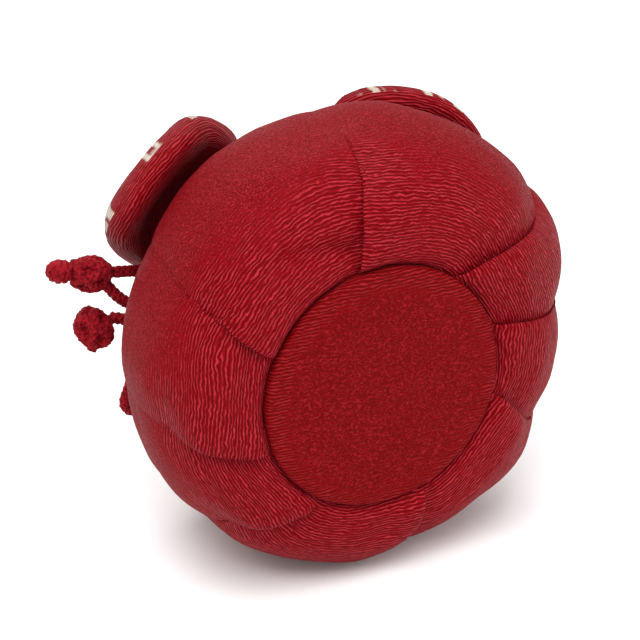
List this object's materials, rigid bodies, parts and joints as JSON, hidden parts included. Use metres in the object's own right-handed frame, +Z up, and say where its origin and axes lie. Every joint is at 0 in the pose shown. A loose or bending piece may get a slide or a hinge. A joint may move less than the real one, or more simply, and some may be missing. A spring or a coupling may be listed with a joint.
{
  "type": "kinchaku drawstring pouch",
  "caption": "Small round crepe drawstring pouch lying on its side, with pleats sewn round a stiff round base and padded petals at the drawn mouth.",
  "frame": {"origin": "on the surface the pouch lies on, under the middle of its box without the cord tails and knots", "axes": "+Z up; -Y out of the round base, so +Y runs from the base to the drawn mouth; +X across"},
  "size_m": [0.1269, 0.0787, 0.1143],
  "materials": {
    "crepe_red": "ribbed silky crepe, satin",
    "crepe_patterned": "ribbed crepe with an off-white pattern",
    "lining_red": "plain thin cotton, matt",
    "cord_red": "round braided cord, matt silk",
    "card": "uncoated grey card"
  },
  "bodies": {
    "root": {"outer_bag": "crepe_red", "lining_bag": "lining_red", "base_cover": "crepe_red", "base_board": "card", "petal_upper_left": "crepe_patterned", "petal_upper_right": "crepe_patterned", "petal_lower_left": "crepe_patterned", "petal_lower_right": "crepe_patterned", "drawcord_ring": "cord_red", "drawcord_tail_upper": "cord_red", "drawcord_tail_link": "cord_red", "drawcord_tail_lower": "cord_red", "knot_upper": "cord_red", "knot_upper_tip": "cord_red", "knot_lower": "cord_red"}
  },
  "joints": []
}
